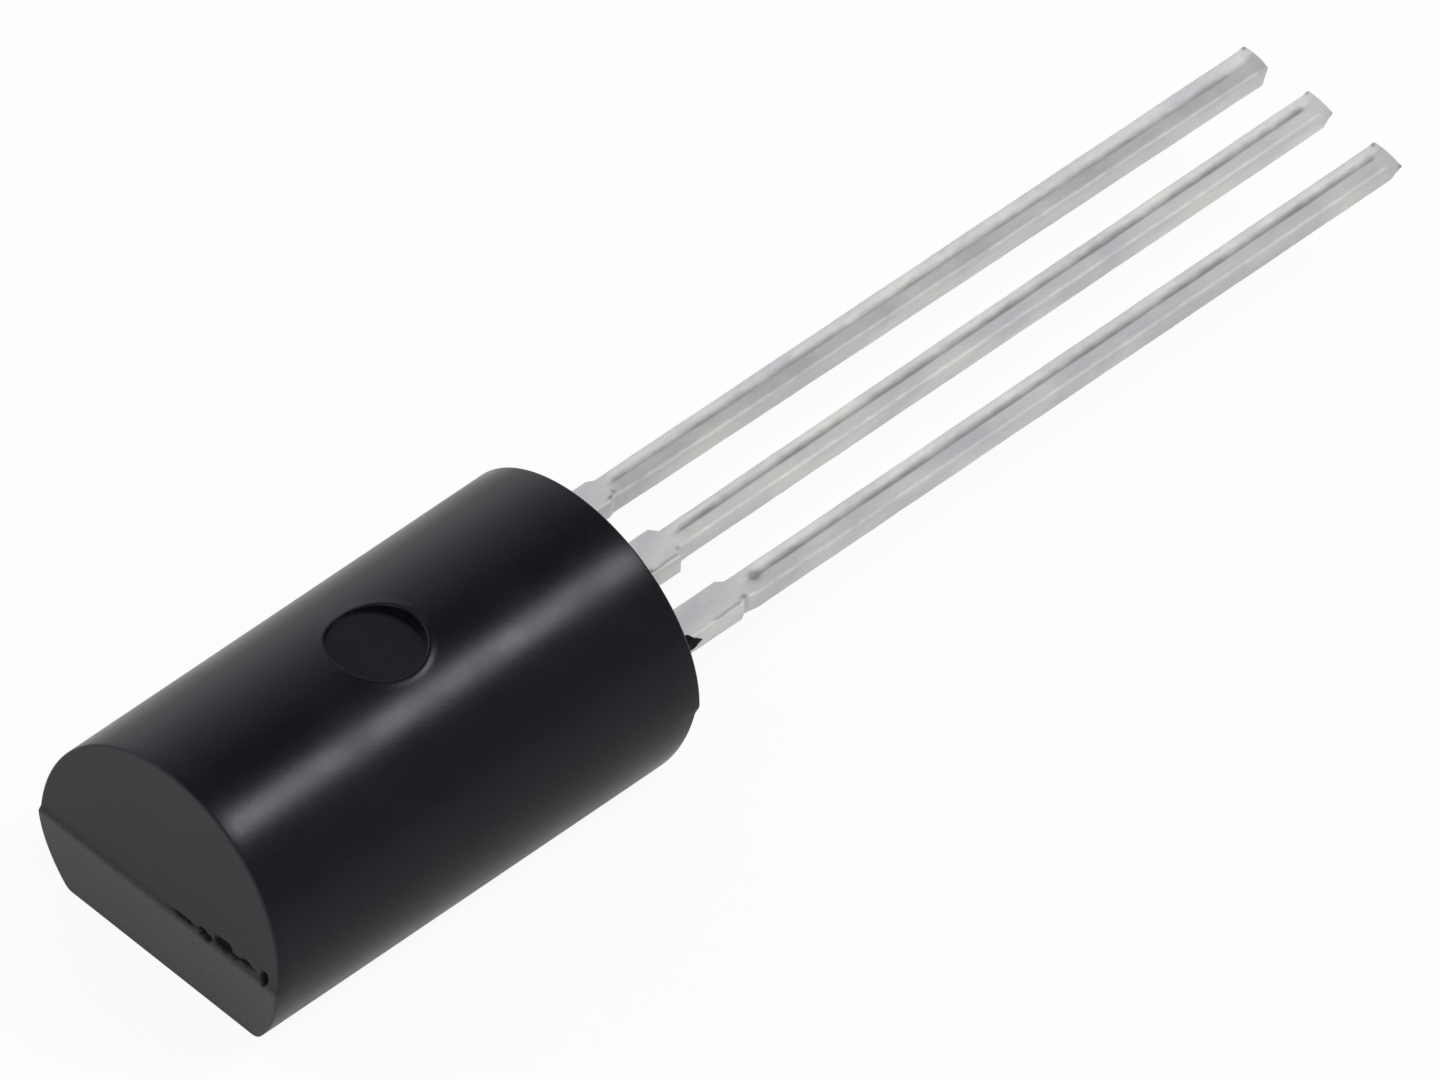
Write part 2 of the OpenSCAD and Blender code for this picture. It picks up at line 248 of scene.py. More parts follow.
def make_lead(name, corners, notches, line_y, end_x, widen, swell, flare, groove, crease, seam, pits,
              haze, toe, phase):
    """A lead from its inner end to its tip at end_x, along the line y = line_y beyond the resin. widen
    is how much wider than the outline its shoulder is at the near and far edge. swell is how much the
    tin adds to the near edge, to the far edge and to the height at the tip. groove is the place across
    the lead of the line from which its upper face climbs, at both ends. crease is where the crease in
    the groove starts and ends along X, its depth and the darkness of the painted shade along it. seam
    is where a dark line along the shoulder's near edge starts and ends, and its distance from the edge.
    pits are rows of x, distance from the line, radius and depth; each pit is painted dark as painted
    shade, and depth 0 is only a dark spot at a sheared corner. haze is painted shade on the near half
    of the upper face and on the near side, and toe turns the lead beyond its shoulder. Over the last
    stretch, tip_run, the groove and the rolls run out into a face tilted towards the near side. The
    shears pushed its near edge out by flare, left the lower edge a little short and bowed the end."""
    steps = [
        np.linspace(corners[0, 0], root_fine_x, 90),
        corners[:, 0],
        *[notch + lock_r * np.cos(np.radians(np.linspace(0, 180, 13))) for notch in notches],
        np.arange(root_fine_x, root_fine_end, root_step),
        np.arange(root_fine_end, end_x - tip_fine, shank_step),
        np.linspace(end_x - tip_fine, end_x - tip_round, 14),
        end_x - tip_round + tip_round * np.sin(np.radians(np.linspace(0, 90, 6)))
    ]
    x = np.unique(np.round(np.minimum(np.concatenate(steps), end_x), 8))
    near, far = stamped_edges(x, corners, notches)
    out = np.interp(x, [resin_x, spread_x, shoulder_x - shoulder_taper, shoulder_x], [0, 1, 1, 0])
    bare = np.clip((x - roll_start) / roll_ramp, 0, 1)
    shank = np.clip((x - shoulder_x) / shank_ramp, 0, 1)
    run = np.clip((x - shoulder_x) / (end_x - shoulder_x), 0, 1)
    uneven = waviness * bare
    near = near - out * widen[0] - shank * swell[0] + uneven * ripple(x, phase)
    far_swell = shank * (far_swell_start + (1 - far_swell_start) * run) * swell[1]
    far = far + out * widen[1] + far_swell + uneven * ripple(x, phase + 1.7)
    nose = np.clip((x - (end_x - tip_round)) / tip_round, 0, 1)
    near = near + tip_near_round * (1 - np.sqrt(1 - nose ** 2))
    far = far - tip_far_round * (1 - np.sqrt(1 - nose ** 2))
    last = np.clip((x - (end_x - tip_run)) / tip_run, 0, 1) ** 2
    top = strip_top + run * swell[2] + tip_rise * last + 0.5 * uneven * ripple(x, phase + 3.1)
    soft = bare * (shoulder_soft + (1 - shoulder_soft) * shank) * (1 - tip_sharpens * last)
    rolls = [inner_roll + (roll - inner_roll) * soft for roll in (near_roll, far_roll)]
    ends = ((near_climb, 0), (far_climb, tip_tilt))
    climb = bare * shank
    slopes = [least_climb + climb * (slope + (at_tip - slope) * last) for slope, at_tip in ends]
    across = line_y + shank * (groove[0] + (groove[1] - groove[0]) * run)
    across = np.where(x > lock_x, across, (near + far) / 2)
    along = np.clip((x - crease[0]) / crease_start_ramp, 0, 1)
    along = along * np.clip((crease[1] - x) / crease_end_ramp, 0, 1)
    sunk = crease[2] * along * (1 + patchy * ripple(x, phase + 5.3))
    rings = lead_rings(x, near, far, top, across, rolls, slopes, sunk)
    upper = rings[..., 2] > (strip_face + strip_top) / 2
    beside = rings[..., 1] - across[:, None]
    from_near = rings[..., 1] - near[:, None]
    # The crease is painted darker along its middle: painted shade in the crease.
    dark = along * crease[3] * (1 + dark_patchy * ripple(x, phase + 6.1))
    painted_shade_and_marks = dark[:, None] * np.exp(-(beside / crease_shade_w) ** 2) * upper
    scored = np.clip((x - seam[0]) / seam_ramp, 0, 1) * np.clip((seam[1] - x) / seam_ramp, 0, 1)
    line = seam[2] + seam_wander * ripple(x, phase + 9.4)
    near_line = np.exp(-((from_near - line[:, None]) / seam_w) ** 2)
    scored = seam_dark * scored[:, None] * near_line * upper
    rings[..., 2] -= seam_depth * scored
    painted_shade_and_marks = np.maximum(painted_shade_and_marks, scored)
    # The near half of the upper face and the near side are painted darker: painted shade, fading out
    # beyond the crease.
    tarnished = haze[1] + (haze[0] - haze[1]) * np.clip(from_near / haze_w, 0, 1)
    tarnished = np.where(beside < 0, tarnished, tarnished * upper * np.exp(-(beside / crease_w) ** 2))
    near_shading = shank * (1 + patchy * ripple(x, phase + 8.2))
    painted_shade_and_marks = np.maximum(painted_shade_and_marks, near_shading[:, None] * tarnished)
    below = np.clip((top[:, None] - rings[..., 2]) / (strip_top - strip_face), 0, 1)
    bowed = tip_bow * np.minimum((beside / lead_side) ** 2, 1)
    rings[..., 0] -= last[:, None] * (tip_slant * below + bowed)
    rings[..., 1] -= flare * last[:, None] * (1 - below) * np.clip(-beside / lead_side, 0, 1)
    off = rings[..., 1] - line_y
    # Each pit is painted dark: painted shade in the pit. A pit of depth 0 is only a dark spot.
    for pit_x, pit_y, pit_r, pit_depth in pits:
        mark = np.exp(-((rings[..., 0] - pit_x) ** 2 + (off - pit_y) ** 2) / pit_r ** 2)
        rings[..., 2] -= upper * pit_depth * mark
        painted_shade_and_marks = painted_shade_and_marks + mark * upper
    painted_shade_and_marks = np.clip(painted_shade_and_marks, 0, 1)
    ahead = rings[..., 0] - shoulder_x
    inner = np.minimum(off, lead_side)
    turned_x = shoulder_x + ahead * np.cos(toe) + inner * np.sin(toe)
    turned_y = line_y - ahead * np.sin(toe) + off * np.cos(toe)
    rings[..., 0] = np.where(ahead > 0, turned_x, rings[..., 0])
    rings[..., 1] = np.where(ahead > 0, turned_y, rings[..., 1])
    shells = (rings, end_cap(rings[0]), end_cap(rings[-1]))
    sheets = [(points, lay_grid(points, closed=True)) for points in shells]
    shade_and_mark_sheets = [painted_shade_and_marks, np.zeros(sheets[1][0].shape[:2]), np.zeros(sheets[2][0].shape[:2])]
    return make_piece(name, sheets, sharp=50, shares={"painted_shade_and_marks": shade_and_mark_sheets})


collector_corners = np.array([
    [pad_x0, -(pad_side - corner_cut), pad_side - corner_cut],
    [pad_x0 + corner_cut, -pad_side, pad_side],
    [pad_x1 - corner_cut, -pad_side, pad_side],
    [pad_x1 - punch_r, -(pad_side - corner_cut), pad_side - corner_cut],
    [pad_x1, -neck_side, neck_side],
    [post_x1 + post_gap - punch_r, -neck_side, neck_side],
    [post_x1 + post_gap, -shoulder_side, shoulder_side],
    [shoulder_x - shoulder_taper, -shoulder_side, shoulder_side],
    [shoulder_x, -lead_side, lead_side],
    [tip_x, -lead_side, lead_side]
])
side_corners = np.array([
    [post_x0, post_near + corner_cut, post_far - corner_cut],
    [post_x0 + corner_cut, post_near, post_far],
    [post_x1 - corner_cut, post_near, post_far],
    [post_x1 - punch_r, post_near + corner_cut, post_far - corner_cut],
    [post_x1, lead_pitch - side_shoulder, lead_pitch + side_shoulder],
    [shoulder_x - shoulder_taper, lead_pitch - side_shoulder, lead_pitch + side_shoulder],
    [shoulder_x, lead_pitch - lead_side, lead_pitch + lead_side],
    [tip_x, lead_pitch - lead_side, lead_pitch + lead_side]
])
middle_lead = make_lead(
    "middle_lead", collector_corners, [pad_x0 + pad_l / 2, lock_x], 0, tip_x,
    widen=(0.02 * mm, 0.01 * mm), swell=(-0.01 * mm, 0.025 * mm, 0.02 * mm), flare=0.12 * mm,
    groove=(0.065 * mm, 0.075 * mm),
    crease=(shoulder_x + 0.1 * mm, tip_x - 0.2 * mm, 0.02 * mm, 0.85),
    seam=(4.85 * mm, 5.6 * mm, 0.05 * mm),
    pits=[(5.62 * mm, -0.2 * mm, 0.03 * mm, 0.01 * mm), (5.05 * mm, -0.26 * mm, 0.03 * mm, 0.01 * mm),
          (tip_x - 0.05 * mm, 0.22 * mm, 0.03 * mm, 0), (tip_x - 0.04 * mm, -0.32 * mm, 0.035 * mm, 0)],
    haze=(0.16, 0), toe=0, phase=0.4
)
far_lead = make_lead(
    "far_lead", side_corners, [lock_x], lead_pitch, tip_x - 0.06 * mm,
    widen=(-0.04 * mm, -0.01 * mm), swell=(0, 0.06 * mm, 0.035 * mm), flare=0.05 * mm,
    groove=(0.06 * mm, 0.06 * mm),
    crease=(shoulder_x + 0.05 * mm, tip_x - 0.5 * mm, 0.012 * mm, 0.72),
    seam=(5.5 * mm, 5.75 * mm, 0.06 * mm),
    pits=[(5.72 * mm, -0.1 * mm, 0.035 * mm, 0.02 * mm), (5.6 * mm, -0.17 * mm, 0.03 * mm, 0.01 * mm),
          (tip_x - 0.11 * mm, 0.24 * mm, 0.03 * mm, 0)],
    haze=(0.42, 0), toe=emitter_toe, phase=2.2
)
near_lead = make_lead(
    "near_lead", mirrored(side_corners), [lock_x], -lead_pitch, tip_x,
    widen=(-0.01 * mm, 0.015 * mm), swell=(0.042 * mm, 0, 0.01 * mm), flare=0.15 * mm,
    groove=(0.04 * mm, 0.04 * mm),
    crease=(shoulder_x + 0.25 * mm, tip_x - 0.12 * mm, 0.02 * mm, 0.88),
    seam=(5 * mm, 5.65 * mm, 0.05 * mm),
    pits=[(5.67 * mm, -0.17 * mm, 0.05 * mm, 0.02 * mm), (6.06 * mm, 0.03 * mm, 0.09 * mm, 0.008 * mm),
          (tip_x - 0.06 * mm, 0.18 * mm, 0.035 * mm, 0), (tip_x - 0.04 * mm, -0.36 * mm, 0.03 * mm, 0)],
    haze=(0.2, 0.15), toe=0, phase=4.9
)


def node_graph(name):
    """A new material with its node tree, its shader and the object coordinates."""
    material = bpy.data.materials.new(name)
    material.use_nodes = True
    nodes = material.node_tree.nodes
    place = nodes.new("ShaderNodeTexCoord").outputs["Object"]
    return material, material.node_tree, nodes["Principled BSDF"], place


def add_noise(tree, place, grain, detail=3.0, stretch=(1, 1, 1), rough=0.5):
    """A noise pattern whose grains are about grain metres wide, drawn out along an axis by stretch."""
    mapping = tree.nodes.new("ShaderNodeMapping")
    mapping.inputs["Scale"].default_value = [1 / (grain * s) for s in stretch]
    noise = tree.nodes.new("ShaderNodeTexNoise")
    noise.inputs["Scale"].default_value = 1.0
    noise.inputs["Detail"].default_value = detail
    noise.inputs["Roughness"].default_value = rough
    tree.links.new(place, mapping.inputs["Vector"])
    tree.links.new(mapping.outputs["Vector"], noise.inputs["Vector"])
    return noise.outputs["Fac"]


def spread(tree, value, low, high, to_low, to_high):
    """Takes a value's range from low to high onto the range from to_low to to_high."""
    node = tree.nodes.new("ShaderNodeMapRange")
    node.inputs["From Min"].default_value = low
    node.inputs["From Max"].default_value = high
    node.inputs["To Min"].default_value = to_low
    node.inputs["To Max"].default_value = to_high
    tree.links.new(value, node.inputs["Value"])
    return node.outputs["Result"]


def blend_colour(tree, share, first, second):
    """A colour between first and second by share. Either may be a colour or a socket."""
    node = tree.nodes.new("ShaderNodeMix")
    node.data_type = "RGBA"
    tree.links.new(share, node.inputs["Factor"])
    for socket, colour in ((node.inputs[6], first), (node.inputs[7], second)):
        if isinstance(colour, tuple):
            socket.default_value = (*colour, 1)
        else:
            tree.links.new(colour, socket)
    return node.outputs[2]


def add_bump(tree, height, distance, strength, under=None):
    """Bump of a height pattern, distance metres high, on top of the bump under it."""
    node = tree.nodes.new("ShaderNodeBump")
    node.inputs["Distance"].default_value = distance
    node.inputs["Strength"].default_value = strength
    tree.links.new(height, node.inputs["Height"])
    if under is not None:
        tree.links.new(under, node.inputs["Normal"])
    return node.outputs["Normal"]


def tin_finish():
    """Dipped tin: a dull grey metal with cloudy grains and fine drawn lines along X, painted dark as
    shade in the crease, in the pits and on the near half, and dark along the seam and at the sheared
    corners."""
    material, tree, shader, place = node_graph("dipped_tin")
    painted_shade_and_marks = tree.nodes.new("ShaderNodeAttribute")
    painted_shade_and_marks.attribute_name = "painted_shade_and_marks"
    cloud = add_noise(tree, place, 0.45 * mm, 4, (3, 1, 1))
    grains = add_noise(tree, place, 0.07 * mm, 3, (2, 1, 1))
    lines = add_noise(tree, place, 0.022 * mm, 2, (60, 1, 1))
    cool_grey = (0.635, 0.64, 0.655)
    warm_grey = (0.768, 0.762, 0.737)
    # The dark grey of the painted shade in the crease, the pits and on the near half, and of the seam's
    # line and the dark spots
    tarnish = (0.24, 0.235, 0.225)
    tone = blend_colour(tree, spread(tree, cloud, 0.35, 0.68, 0, 1), cool_grey, warm_grey)
    dark = spread(tree, painted_shade_and_marks.outputs["Fac"], 0, 1, 0, 0.75)
    shaded_and_marked = blend_colour(tree, dark, tone, tarnish)
    shader.inputs["Metallic"].default_value = 0.85
    tree.links.new(shaded_and_marked, shader.inputs["Base Color"])
    tree.links.new(spread(tree, grains, 0.3, 0.7, 0.66, 0.76), shader.inputs["Roughness"])
    coarse = add_bump(tree, cloud, 0.02 * mm, 0.3)
    fine = add_bump(tree, grains, 0.004 * mm, 0.6, coarse)
    tree.links.new(add_bump(tree, lines, 0.0015 * mm, 0.3, fine), shader.inputs["Normal"])
    return material


tin = tin_finish()
lead_nodes = ((middle_lead, "collector_lead"), (far_lead, "emitter_lead"), (near_lead, "base_lead"))
for lead, node in lead_nodes:
    lead.data.materials.append(tin)
    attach(lead, "root")
    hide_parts(node)


# Die and die attach
# A square chip of silicon, sawn from a polished wafer. It sits on a film of solder that melted between
# it and the pad, on the side of the pad that faces the flat.
def silicon_finish():
    """Polished silicon: dark blue-grey with faint steps of thin oxide."""
    material, tree, shader, place = node_graph("polished_silicon")
    oxide = add_noise(tree, place, 0.25 * mm, 2)
    steps = spread(tree, oxide, 0.4, 0.6, 0, 1)
    shades = blend_colour(tree, steps, (0.12, 0.13, 0.17), (0.2, 0.21, 0.24))
    shader.inputs["Metallic"].default_value = 0.6
    tree.links.new(shades, shader.inputs["Base Color"])
    tree.links.new(spread(tree, oxide, 0.3, 0.7, 0.12, 0.25), shader.inputs["Roughness"])
    return material


def solder_finish():
    """Dull solder: a grey metal with a grainy, slightly wrinkled skin."""
    material, tree, shader, place = node_graph("dull_solder")
    skin = add_noise(tree, place, 0.06 * mm, 4)
    wrinkles = spread(tree, skin, 0.3, 0.7, 0, 1)
    shades = blend_colour(tree, wrinkles, (0.42, 0.42, 0.43), (0.6, 0.6, 0.6))
    shader.inputs["Metallic"].default_value = 1.0
    tree.links.new(shades, shader.inputs["Base Color"])
    tree.links.new(spread(tree, skin, 0.3, 0.7, 0.4, 0.6), shader.inputs["Roughness"])
    tree.links.new(add_bump(tree, skin, 0.005 * mm, 0.5), shader.inputs["Normal"])
    return material


for node, finish in (("die", silicon_finish()), ("die_attach", solder_finish())):
    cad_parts[node].data.materials.clear()
    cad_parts[node].data.materials.append(finish)


# Bond wires
# Two gold wires, 0.05 mm thick. Each starts in a ball that was pressed onto the die, rises straight,
# bends over and runs down to its post, where its end is pressed flat into a foot.
die_low, die_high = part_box("die")
wire_r = 0.025 * mm
ball_r = 0.055 * mm
ball_h = 0.04 * mm
wire_rise = 0.16 * mm
wire_bend = 0.12 * mm
bond_off = 0.2 * mm
bond_x = (die_low.x + die_high.x) / 2 + bond_off
bond_y = bond_off
landing_x = (post_x0 + post_x1) / 2
landing_y = (post_near + post_far) / 2
stack_h = strip_face - die_low.z


def wire_rings():
    """Rings round a bond wire, which lies in an upright plane from its ball to its foot. Each ring has
    its place along the span, its depth below the strip, the wire's turn away from upright and a
    radius."""
    span = np.hypot(landing_x - bond_x, landing_y - bond_y)
    heading = np.arctan2(landing_y - bond_y, landing_x - bond_x)
    bend_h = stack_h + ball_h + wire_rise
    bend_span = span - wire_bend
    slope = np.arctan2(bend_h, bend_span) + np.arcsin(wire_bend / np.hypot(bend_span, bend_h))
    puff = np.linspace(0, 1, 7)
    turn = np.linspace(0, np.pi / 2 + slope, 17)
    foot = np.linspace(1, 0, 6)
    along = np.concatenate([
        0 * puff,
        wire_bend * (1 - np.cos(turn)),
        span - 2 * ball_r * np.cos(slope) * foot
    ])
    depth = np.concatenate([
        stack_h + ball_h * puff,
        bend_h + wire_bend * np.sin(turn),
        2 * ball_r * np.sin(slope) * foot
    ])
    lean = np.concatenate([0 * puff, turn, np.pi / 2 + slope + (np.pi / 2 - slope) * (1 - foot)])
    radius = np.concatenate([
        wire_r + (ball_r - wire_r) * np.sqrt(np.clip(1 - (2 * puff - 1) ** 2, 0.1, 1)) * (puff < 1),
        wire_r + 0 * turn,
        wire_r + (ball_r - wire_r) * (1 - foot) ** 2
    ])
    around = np.linspace(0, 2 * np.pi, 16, endpoint=False)
    out = radius[:, None] * np.cos(around)
    run = along[:, None] + out * np.cos(lean)[:, None]
    down = depth[:, None] - out * np.sin(lean)[:, None]
    across = radius[:, None] * np.sin(around) + 0 * run
    x = bond_x + run * np.cos(heading) - across * np.sin(heading)
    y = bond_y + run * np.sin(heading) + across * np.cos(heading)
    return np.stack([x, y, np.minimum(strip_face - down, strip_face)], axis=-1)


def gold_finish():
    """Bright drawn gold, finely mottled."""
    material, tree, shader, place = node_graph("drawn_gold")
    mottle = add_noise(tree, place, 0.01 * mm, 2)
    shades = blend_colour(tree, mottle, (0.83, 0.6, 0.24), (0.95, 0.75, 0.36))
    shader.inputs["Metallic"].default_value = 1.0
    tree.links.new(shades, shader.inputs["Base Color"])
    tree.links.new(spread(tree, mottle, 0.3, 0.7, 0.18, 0.3), shader.inputs["Roughness"])
    return material


gold = gold_finish()
for name, node, side in (("far_bond_wire", "emitter_wire", 1), ("near_bond_wire", "base_wire", -1)):
    rings = wire_rings() * np.array([1, side, 1])
    shells = (rings, end_cap(rings[0]), end_cap(rings[-1]))
    sheets = [(points, lay_grid(points, closed=True)) for points in shells]
    wire = make_piece(name, sheets)
    wire.data.materials.append(gold)
    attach(wire, "root")
    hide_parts(node)


# Moulded body
# One block of black, silica-filled epoxy resin, moulded in two halves round the lead frame, the lower
# half a little towards the head. An ejector pin left the round mark on the crown, the gate broke away
# along the parting line of the head, and a spur of flash crept out along the near lead.
body_low, body_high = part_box("body")
mould_shift = 0.06 * mm
body_l = 8 * mm
round_r = body_high.y
parting_h = body_high.z - round_r
head_x = body_low.x + mould_shift
lead_end_x = head_x + body_l
upper_draft = np.tan(np.radians(2.5))
head_draft = np.tan(np.radians(8))
lead_end_draft = np.tan(np.radians(10))
ledge_h = 0.09 * mm
edge_r = 0.04 * mm
corner_r = 0.18 * mm
parting_band = 0.1 * mm
head_clear = 0.3 * mm
lead_end_clear = 0.45 * mm
# Share of the dull finish and of the lighter end grey, partly painted light, on the upper part of the
# end faces
upper_matt_and_light = 0.38

# The ejector mark, its lip and the square patch of the round side about it
mark_x = -0.05 * mm
mark_r = 0.7 * mm
mark_depth = 0.15 * mm
mark_rim = 0.035 * mm
mark_fillet = 0.003 * mm
mark_lip = 0.02 * mm
lip_w = 0.05 * mm
lip_turn = np.radians(-32)
lip_spread = 0.65
lip_least = 0.15
rim_most = 0.4
rim_clear = 1.04
mark_patch = 1 * mm
patch_crowding = 0.7

# The spur of flash
spur_w = 0.14 * mm
spur_lap = 0.1 * mm
spur_t = 0.04 * mm
spur_lift = 0.06 * mm
spur_rise = 0.06 * mm
spur_short = 0.05 * mm
spur_wave = 0.012 * mm
spur_skin = 0.001 * mm
spur_point = 0.004 * mm
spur_narrows = 0.7
spur_waves = 21
spur_square = 0.45
spur_fade = 0.05 * mm

# How many rows and columns the mesh has
face_columns = 150
mark_rows = 12
end_stations = 14
mark_stations = 21

# The gate scar's chips, with their place across the head, height, half width, half height and depth
chip_edge = 0.03 * mm
chip_outer = 1.1
chip_wall = 0.35
chip_teeth = 0.034 * mm
chip_nicks = 0.013 * mm
gate_chips = np.array([
    [-0.50, 1.410, 0.26, 0.030, 0.05],
    [-0.86, 1.430, 0.07, 0.075, 0.08],
    [-0.98, 1.400, 0.07, 0.050, 0.06],
    [-1.27, 1.460, 0.19, 0.070, 0.07],
    [-1.48, 1.425, 0.09, 0.040, 0.05],
    [-1.71, 1.460, 0.15, 0.045, 0.06],
    [-2.06, 1.450, 0.07, 0.095, 0.12]
]) * mm


def mould_half(z):
    """Share of the lower mould half at height z: 0 above the parting line and 1 below its narrow ledge,
    with a smooth step between."""
    share = np.clip((parting_h - z) / ledge_h, 0, 1)
    return share ** 2 * (3 - 2 * share)


def gate_bite(y, z):
    """Depth of the gate scar at a place on the head: each chip is an ellipse with a sloping wall, made
    ragged by two sine waves along y."""
    away = np.hypot((y[..., None] - gate_chips[:, 0]) / gate_chips[:, 2],
                    (z[..., None] - gate_chips[:, 1]) / gate_chips[:, 3])
    teeth = 0.12 * np.sin(y[..., None] / chip_teeth + 5 * gate_chips[:, 0] / mm)
    nicks = 0.06 * np.sin(y[..., None] / chip_nicks)
    away = away * (1 + teeth + nicks)
    return (gate_chips[:, 4] * np.clip((chip_outer - away) / chip_wall, 0, 1)).max(axis=-1)


def head_plane(y, z):
    """Place along X of the head end: a drafted plane above the parting line and a steeper one below it,
    which stands out by the mould's shift, less the gate scar."""
    half = mould_half(z)
    above = head_x + np.abs(z - parting_h) * upper_draft
    below = head_x - mould_shift + np.abs(parting_h - z) * head_draft
    return above * (1 - half) + below * half + gate_bite(y, z)


def lead_end_plane(y, z):
    """Place along X of the lead end: a drafted plane above the parting line and a steeper one below
    it."""
    half = mould_half(z)
    above = lead_end_x - np.abs(z - parting_h) * upper_draft
    below = lead_end_x - mould_shift - np.abs(parting_h - z) * lead_end_draft
    return above * (1 - half) + below * half


# The small arc between the flat and the round side, and the turns of the section's rows from the flat,
# past the parting line, up to the crown
corner_z = corner_r
corner_y = -np.sqrt((round_r - corner_r) ** 2 - (parting_h - corner_r) ** 2)
flat_turn = np.pi + np.arcsin((parting_h - corner_r) / (round_r - corner_r))
near_parting = parting_band / round_r
mark_turn = np.arccos(-mark_patch / round_r)
corner_turns = np.linspace(1.5 * np.pi, flat_turn, 6)
round_turns = np.concatenate([
    np.linspace(flat_turn, np.pi + near_parting, 18),
    np.linspace(np.pi + near_parting, np.pi - near_parting, 15)[1:],
    np.linspace(np.pi - near_parting, mark_turn, 32)[1:],
    np.linspace(mark_turn, np.pi / 2, mark_rows + 1)[1:]
])
rows = len(corner_turns) + len(round_turns) - 1
crown_row = rows - 1
mark_row = crown_row - mark_rows


def near_rows(inset):
    """Near edges and heights of the section's rows, moved inwards by inset: a short arc at the flat,
    then the round side."""
    small_arc = corner_r - inset
    arc = round_r - inset
    y = np.concatenate([
        corner_y + small_arc * np.cos(corner_turns[:-1]),
        arc * np.cos(round_turns)
    ])
    z = np.concatenate([
        corner_z + small_arc * np.sin(corner_turns[:-1]),
        parting_h + arc * np.sin(round_turns)
    ])
    y[-1] = 0
    return y, z


def section_ring(inset):
    """The section's closed outline: up the near side, over the crown, down the far side and back."""
    y, z = near_rows(inset)
    across = np.linspace(-corner_y, corner_y, face_columns + 1)[1:-1]
    return np.concatenate([y, -y[-2::-1], across]), np.concatenate([z, z[-2::-1], inset + 0 * across])


def end_sheets(plane, inward):
    """An end of the body: rings that round its edge over a quarter circle, and a face whose rows reach
    from its near edge to its far edge. plane gives its place. inward is 1 at the head and -1 at the
    lead end."""
    turns = np.radians(np.linspace(0, 90, 7))
    outlines = [section_ring(edge_r * (1 - np.cos(turn))) for turn in turns]
    y = np.array([outline[0] for outline in outlines])
    z = np.array([outline[1] for outline in outlines])
    x = plane(y, z) + inward * edge_r * (1 - np.sin(turns))[:, None]
    edge = np.stack([x, y, z], axis=-1)
    half_w, row_z = near_rows(edge_r)
    face_y = np.abs(half_w)[:, None] * np.linspace(-1, 1, face_columns + 1)
    face_z = row_z[:, None] + 0 * face_y
    face = np.stack([plane(face_y, face_z), face_y, face_z], axis=-1)
    return edge, face


def round_z(y):
    """Height of the round side at y."""
    return parting_h + np.sqrt(round_r ** 2 - y ** 2)


def side_sheet(head_edge, lead_edge):
    """The side of the body between its ends, as the section's outline carried along X, with a square
    left open round the ejector mark. Returns the points, the faces and the outline of the open
    square."""
    stations = np.concatenate([
        np.linspace(head_x + head_clear, mark_x - mark_patch, end_stations),
        np.linspace(mark_x - mark_patch, mark_x + mark_patch, mark_stations)[1:],
        np.linspace(mark_x + mark_patch, lead_end_x - lead_end_clear, end_stations)[1:]
    ])
    y, z = section_ring(0)
    along = stations[:, None] + 0 * y
    middle = np.stack([along, y + 0 * along, z + 0 * along], axis=-1)
    points = np.vstack([head_edge[None], middle, lead_edge[None]])
    faces = lay_grid(points, closed=True)
    keep = np.ones(faces.shape[:2], bool)
    first = end_stations
    last = first + mark_stations - 1
    far_row = 2 * crown_row - mark_row
    keep[first:last, mark_row:far_row] = False
    square = np.concatenate([
        points[first:last, mark_row],
        points[last, mark_row:far_row],
        points[last:first:-1, far_row],
        points[first, far_row:mark_row:-1]
    ])
    return points, faces[keep], square


def mark_sheet(square):
    """The ejector mark and the round side about it, as rings from the open square down to the middle of
    the mark: a blend from square to circle, a low lip that is highest on the near right and level with
    the crown at most, the rounded rim, the wall, a small fillet and the flat floor."""
    turn = np.arctan2(square[:, 1], square[:, 0] - mark_x)
    floor_z = body_high.z - mark_depth
    drop = round_z(mark_r * np.sin(turn)) - floor_z
    rim = np.minimum(mark_rim, rim_most * drop)
    fillet = np.minimum(mark_fillet, rim_most * drop)
    blend = np.linspace(0, 1, 18)[:, None] ** patch_crowding
    outer = (mark_r + rim) * rim_clear
    blend_x = square[:, 0] * (1 - blend) + (mark_x + outer * np.cos(turn)) * blend
    blend_y = square[:, 1] * (1 - blend) + outer * np.sin(turn) * blend
    around = np.stack([blend_x, blend_y, round_z(blend_y)], axis=-1)
    bend = np.radians(np.linspace(0, 90, 8))[:, None]
    rim_r = mark_r + rim * (1 - np.sin(bend))
    rim_z = round_z(rim_r * np.sin(turn)) - rim * (1 - np.cos(bend))
    wall = np.linspace(0, 1, 4)[1:-1, None]
    wall_z = (floor_z + drop - rim) * (1 - wall) + (floor_z + fillet) * wall
    foot_r = mark_r - fillet * (1 - np.cos(bend))
    foot_z = floor_z + fillet * (1 - np.sin(bend))
    floor_r = (mark_r - fillet) * np.linspace(1, 0, 12)[1:, None]
    ring_r = np.vstack([rim_r, mark_r + 0 * wall_z, foot_r, floor_r])
    ring_z = np.vstack([rim_z, wall_z, foot_z, floor_z + 0 * floor_r])
    rings = np.stack([mark_x + ring_r * np.cos(turn), ring_r * np.sin(turn), ring_z], axis=-1)
    points = np.vstack([around, rings])
    raised = points[:len(around) + len(bend)]
    reach = np.hypot(raised[..., 0] - mark_x, raised[..., 1])
    uneven = lip_least + (1 - lip_least) * np.exp(-((turn - lip_turn) / lip_spread) ** 2)
    lip = mark_lip * uneven * np.exp(-((reach - mark_r - lip_w) / lip_w) ** 2)
    raised[..., 2] = np.minimum(raised[..., 2] + lip, body_high.z)
    return points


